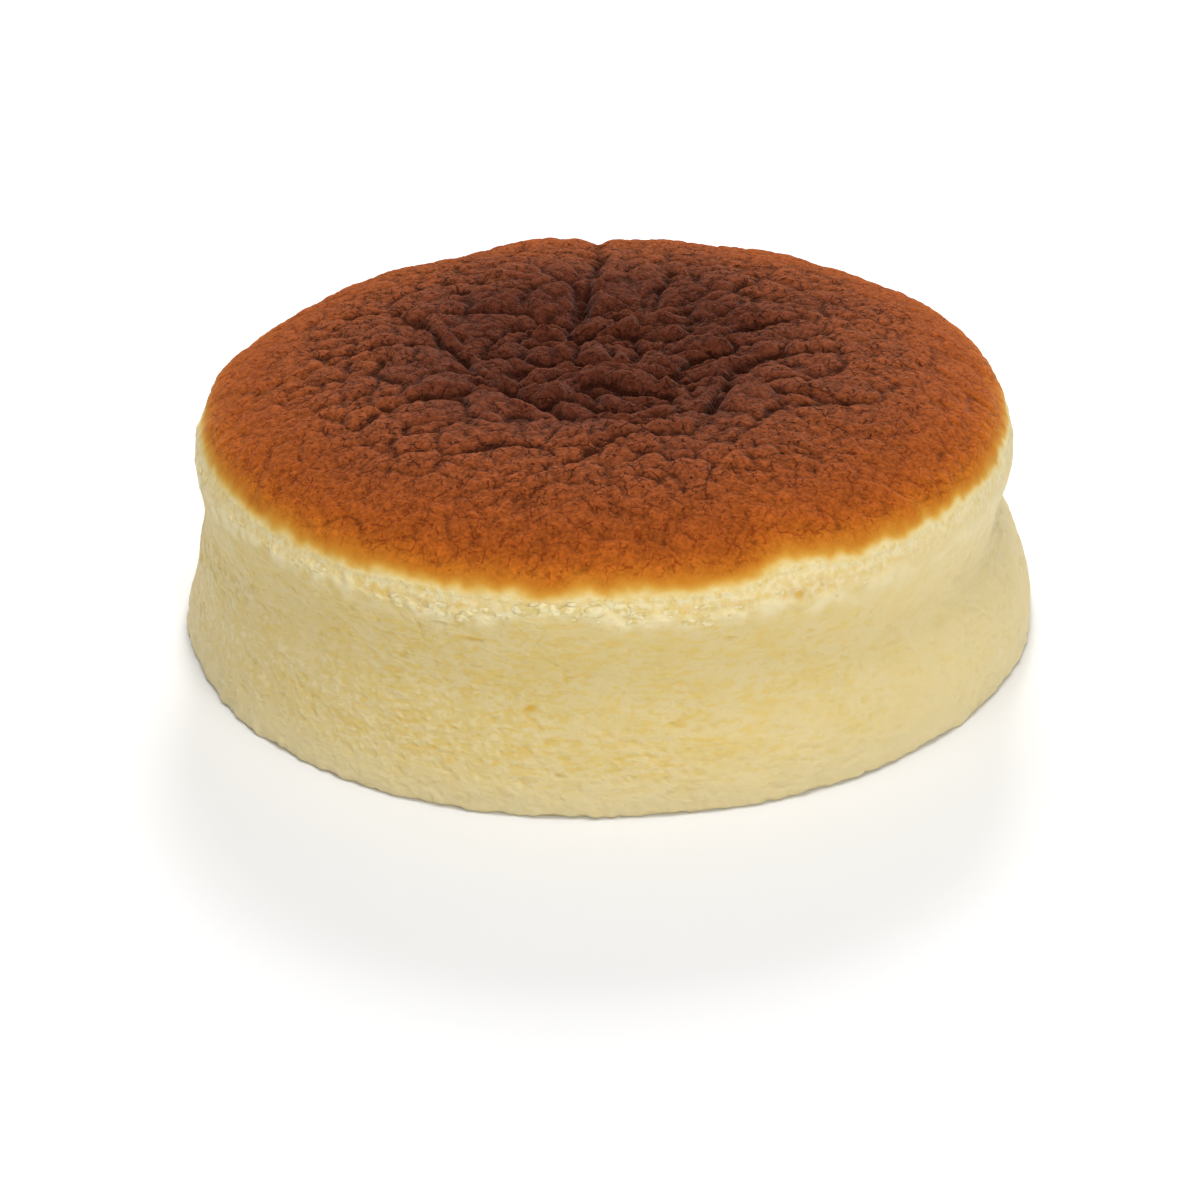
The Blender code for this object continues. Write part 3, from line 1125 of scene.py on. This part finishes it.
def browning(shader):
    """Distance in from the browned edge, made uneven."""
    baked = shader.value("baked")
    drift = shader.math("MULTIPLY_ADD", shader.noise(5.0, 1.0, 1), 3.2, -1.6)
    feather = shader.math("MULTIPLY_ADD", shader.noise(1.3, 1.0, 2), 0.7, -0.35)
    patchy = shader.math("MULTIPLY_ADD", shader.noise(17.0, 2.0, 3), 26.0, -13.0)
    near_edge = shader.between(baked, 2.0, 9.0, 1.0, 0.35)
    far_in = shader.between(baked, 8.0, 36.0)
    uneven = shader.product(shader.total(drift, feather), near_edge)
    return shader.total(baked, uneven, shader.product(patchy, far_in))


def browned_colour(shader, moved):
    """Dark brown in the middle, through orange to torn cream crumbs below the skin's edge."""
    browned = shader.ramp(moved, [(at, linear_colour(*colour)) for at, colour in SKIN_COLOURS])
    # Paler towards the right: partly whiter torn crumb, partly painted light
    pale = shader.product(shader.between(moved, 0.2, -1.2, 0.0, 0.7), right_lit_share(shader))
    browned = shader.mix(pale, browned, PALE_LIT_CRUMB)
    crumbs = torn_crumbs(shader)
    below = shader.between(moved, -0.4, -2.1)
    tops = shader.product(below, shader.between(crumbs, 0.45, 0.60, 0.0, 0.7))
    pits = shader.product(below, shader.between(crumbs, 0.42, 0.34, 0.0, 0.45))
    return shader.mix(pits, shader.mix(tops, browned, CRUMB_TORN), CRUMB_DEEP)


def skin_cracks(skin):
    """The skin's short cracks, pinholes and longer cracks: 1 in them and 0 between them."""
    short = skin.between(skin.border(3.0, skin.drawn(1.0, 0.30, 6)), 0.070, 0.012)
    short = skin.product(short, skin.between(skin.noise(1.7, 1.0, 7), 0.50, 0.60))
    pinholes = skin.spots(1.3, 0.25, 0.6, skin.place)
    long = skin.between(skin.border(5.5, skin.drawn(2.4, 0.7, 11)), 0.045, 0.008)
    long = skin.product(long, skin.between(skin.noise(3.4, 1.0, 8), 0.46, 0.58))
    return skin.greatest(short, pinholes, long)


def with_painted_shade(skin, colour, moved, on_skin, cracks):
    """The skin's colour with painted shade in its crevices and valleys, and its darker cracks."""
    # Painted shade: crevices and broad valleys darkened towards a dark brown
    crevice_shade = skin.between(skin.value("hollowness"), 0.0, 0.45)
    valley = skin.between(skin.value("valley"), 0.0, 1.0)
    colour = skin.mix(skin.product(crevice_shade, on_skin, 0.55), colour, PAINTED_SHADE_BROWN)
    colour = skin.mix(skin.product(valley, on_skin, 0.50), colour, PAINTED_SHADE_BROWN)
    crack_colour = skin.mix(skin.between(moved, 3.0, 30.0), RED_BROWN, CRACK_BROWN)
    drawn_in = skin.between(moved, 4.0, 30.0, 0.55, 0.80)
    return skin.mix(skin.product(cracks, drawn_in), colour, crack_colour)


def tone_and_ridge_highlight(skin, moved, on_skin, mottling, grain):
    """How many times lighter the skin is here: its grain and broad patches of tone, and a painted
    highlight on its ridges.
    """
    speckle = skin.product(
        skin.between(mottling, 0.34, 0.66, 0.90, 1.10), skin.between(grain, 0.38, 0.62, 0.80, 1.24)
    )
    # Painted highlight: raised parts of the skin made lighter
    ridge_highlight = skin.between(skin.value("hollowness"), -0.02, -0.22)
    patches = skin.between(skin.noise(7.0, 2.0, 13), 0.34, 0.66, -0.06, 0.07)
    light = skin.total(skin.math("MULTIPLY_ADD", ridge_highlight, 0.25, speckle), patches)
    calm_rim = skin.product(on_skin, skin.between(moved, 5.0, 30.0, 0.6, 1.0))
    return skin.math("MULTIPLY_ADD", skin.math("SUBTRACT", light, 1.0), calm_rim, 1.0)


def crown_material():
    """Browned skin: darkest in the middle, orange and then cream at its edge, finely cracked."""
    skin = Shader("browned skin")
    moved = browning(skin)
    on_skin = skin.between(moved, 0.5, 5.0)
    cracks = skin.product(skin_cracks(skin), on_skin)
    mottling = skin.noise(1.8, 2.0, 5, roughness=0.6)
    grain = skin.noise(0.75, 1.0, 9)
    colour = with_painted_shade(skin, browned_colour(skin, moved), moved, on_skin, cracks)
    colour = skin.brightened(colour, tone_and_ridge_highlight(skin, moved, on_skin, mottling, grain))

    leathery = skin.total(skin.product(grain, 0.9), mottling, skin.product(cracks, -0.35))
    rise = skin.total(
        skin.between(moved, 1.0, 8.0, 0.15, 0.8), skin.between(moved, 12.0, 50.0, 0.0, 0.6)
    )
    crumbly = skin.product(torn_crumbs(skin), skin.between(moved, 0.1, -1.5, 0.0, 1.2))
    skin.bumped(skin.total(skin.product(leathery, rise), crumbly), SKIN_BUMP)
    moist = skin.between(skin.noise(2.2, 0.0, 10), 0.74, 0.80, 0.0, -0.3)
    roughness = skin.total(skin.between(mottling, 0.3, 0.7, 0.66, 0.54), moist)
    skin.paint(Sheen_Weight=0.10, Sheen_Roughness=0.4, Sheen_Tint=SHEEN_TINT)
    scatter = skin.between(moved, -3.0, 0.5, 0.3, 0.06)
    return skin.finish(colour, roughness, 0.0, scatter, CAKE_SCATTER_DEPTH)


def side_colour(crumb, cloud, curds, curdled, closed):
    """The unbroken side: yellow clouds, ochre streaks, gaps and spots, and pale curds."""
    across, up = crumb.coordinate("X"), crumb.coordinate("Z")
    colour = crumb.mix(crumb.between(cloud, 0.38, 0.64), CRUMB_COLOUR, CRUMB_YELLOW)
    layers = crumb.noise(4.8, 2.0, 13, crumb.flattened(crumb.drawn(5.0, 0.45, 11), 5.0))
    streaky = crumb.between(crumb.noise(8.0, 1.0, 14), 0.34, 0.52)
    streaks = crumb.product(crumb.between(layers, 0.48, 0.37), streaky, 0.75)
    low_down = crumb.between(up, 34.0 * MM, 16.0 * MM)
    curdy = crumb.product(low_down, crumb.between(across, 10.0 * MM, -40.0 * MM, 0.15, 1.0))
    gaps = crumb.product(crumb.between(curds, 0.43, 0.35), crumb.greatest(curdy, 0.85), 0.7)
    spots = crumb.spots(3.2, 0.24, 0.5, curdled)
    marks = crumb.product(crumb.greatest(streaks, gaps, spots), closed)
    fewer = crumb.product(
        crumb.between(across, 30.0 * MM, 75.0 * MM, 0.8, 0.45),
        crumb.between(across, -80.0 * MM, -35.0 * MM, 0.6, 1.0),
    )
    curd_tops = crumb.product(crumb.between(curds, 0.52, 0.66, 0.0, 0.4), curdy, closed)
    colour = crumb.mix(curd_tops, colour, CRUMB_TORN)
    return crumb.mix(crumb.product(marks, fewer), colour, CRUMB_DEEP)


def torn_colour(crumb, colour, crumbs, moved):
    """The side's colour with its pores and torn places; painted light makes the foot and the right
    paler.
    """
    torn = crumb.value("torn")
    pore = crumb.value("pore")
    layers = (
        (crumb.between(pore, 0.1, 0.7, 0.0, 0.7), CRUMB_DEEP),
        (torn, CRUMB_TAN),
        (crumb.product(torn, crumb.between(crumbs, 0.46, 0.64, 0.0, 0.7)), CRUMB_TORN),
        (crumb.product(torn, crumb.between(crumbs, 0.42, 0.34)), CRUMB_DEEP),
        # The torn lip: whiter torn crumb, partly a painted highlight along the edge
        (crumb.value("lip"), CRUMB_TORN),
        (crumb.between(pore, 0.72, 1.0), CRUMB_HOLE),
        # Painted light: paler at the foot, as if lit from below
        (crumb.between(crumb.coordinate("Z"), 1.0 * MM, 12.0 * MM, 0.8, 0.0), CRUMB_FOOT_LIT),
        # Painted light: paler towards the right
        (crumb.product(right_lit_share(crumb), 0.6), PALE_LIT_CRUMB),
        (crumb.between(moved, -4.6, -2.8), browned_colour(crumb, moved)),
    )
    for share, over in layers:
        colour = crumb.mix(share, colour, over)
    return colour


def crumb_material():
    """Pale custard crumb: ochre in its pores, whiter where it is torn, painted paler at the foot.
    """
    crumb = Shader("pale crumb")
    moved = browning(crumb)
    closed = crumb.between(crumb.value("torn"), 0.0, 0.6, 1.0, 0.0)
    cloud = crumb.noise(9.0, 2.0, 12, crumb.flattened(crumb.place, 2.0))
    curdled = crumb.flattened(crumb.drawn(2.0, 0.3, 15), 1.7)
    curds = crumb.noise(2.0, 1.0, 16, curdled)
    crumbs = torn_crumbs(crumb)
    colour = side_colour(crumb, cloud, curds, curdled, closed)
    colour = torn_colour(crumb, colour, crumbs, moved)

    to_left = crumb.between(crumb.coordinate("X"), 60.0 * MM, -20.0 * MM, 0.3, 0.7)
    curdy = crumb.product(curds, closed, to_left)
    rough = crumb.product(crumbs, crumb.math("MULTIPLY_ADD", closed, -0.30, 0.40))
    height = crumb.total(cloud, curdy, rough, crumb.product(crumb.value("lip"), crumbs, 0.4))
    calm = crumb.between(moved, -4.6, -2.4, 1.0, 0.15)
    crumbly = crumb.product(crumbs, crumb.between(moved, -4.6, -2.4, 0.0, 0.68))
    crumb.bumped(crumb.total(crumb.product(height, calm), crumbly), CRUMB_BUMP)
    roughness = crumb.between(crumbs, 0.3, 0.7, 0.48, 0.62)
    return crumb.finish(colour, roughness, 0.35, 0.3, CAKE_SCATTER_DEPTH)


def flake_material():
    """The whitish torn crumb of the lifted flakes."""
    torn = Shader("torn crumb")
    crumbs = torn.noise(1.6, 1.0, 31)
    colour = torn.mix(torn.between(crumbs, 0.36, 0.62), CRUMB_YELLOW, FLAKE_WHITE)
    roughness = torn.between(crumbs, 0.3, 0.7, 0.5, 0.65)
    return torn.finish(colour, roughness, 0.2, 0.12, FLAKE_SCATTER_DEPTH)


# ---- stage, lights and camera

FLOOR_SIZE = 6.0
AIM = (0.0, 0.0, 0.03)        # what the lights face
# The lights: name, place, width, power
LIGHTS = (
    ("key", (0.55, -0.95, 0.42), 0.5, 5.2),
    ("fill", (-0.95, -0.55, 0.40), 0.6, 1.7),
    ("back", (0.05, 0.95, 0.65), 0.35, 10.0),
    ("top", (0.0, -0.15, 1.10), 0.5, 7.0),
)
SURROUND_STRENGTH = 0.25

CAMERA_DISTANCE = 0.625
CAMERA_ELEVATION = 28.4
CAMERA_ROLL = -1.5
CAMERA_LENS = 86.6
CAMERA_TARGET = (-0.0022, 0.0, -0.0012)


def build_floor():
    """A plain pale floor."""
    bpy.ops.mesh.primitive_plane_add(size=FLOOR_SIZE)
    floor = bpy.context.object
    floor.name = "floor"
    plain = Shader("pale floor")
    floor.data.materials.append(
        plain.paint(Base_Color=FLOOR_GREY, Roughness=0.8, Specular_IOR_Level=0.2)
    )


def add_light(name, place, width, power):
    """A square soft light that faces the cake."""
    data = bpy.data.lights.new(name, "AREA")
    data.shape = "SQUARE"
    data.size = width
    data.energy = power
    light = into_scene(name, data)
    light.location = place
    light.rotation_mode = "QUATERNION"
    light.rotation_quaternion = (Vector(AIM) - Vector(place)).to_track_quat("-Z", "Y")


def build_lights():
    """Soft studio light: a key from the front right, fill, back and top, and a white surround."""
    for row in LIGHTS:
        add_light(*row)
    world = bpy.data.worlds.new("surround")
    world.use_nodes = True
    background = world.node_tree.nodes["Background"]
    background.inputs["Color"].default_value = (1.0, 1.0, 1.0, 1.0)
    background.inputs["Strength"].default_value = SURROUND_STRENGTH
    bpy.context.scene.world = world


def build_camera():
    """The camera looks along +Y and down, from the photograph's viewing angle."""
    data = bpy.data.cameras.new("camera")
    data.lens = CAMERA_LENS
    data.sensor_width = 36.0
    data.clip_start = 0.01
    camera = into_scene("camera", data)
    elevation = math.radians(CAMERA_ELEVATION)
    back = Vector((0.0, -math.cos(elevation), math.sin(elevation)))
    camera.location = Vector(CAMERA_TARGET) + back * CAMERA_DISTANCE
    camera.rotation_mode = "QUATERNION"
    roll = Quaternion((0.0, 0.0, 1.0), math.radians(CAMERA_ROLL))
    camera.rotation_quaternion = (-back).to_track_quat("-Z", "Y") @ roll
    bpy.context.scene.camera = camera


# ---- everything together


def main():
    """Builds the cake, its stage and its light."""
    build_camera()
    crown = build_crown(crown_material())
    crumb = build_crumb(crumb_material())
    flakes = build_flakes(flake_material())
    for piece in (crown, crumb, flakes):
        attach(piece, BODY)
        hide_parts(NODE)
    build_floor()
    build_lights()
    bpy.context.scene.view_settings.view_transform = "Standard"


main()
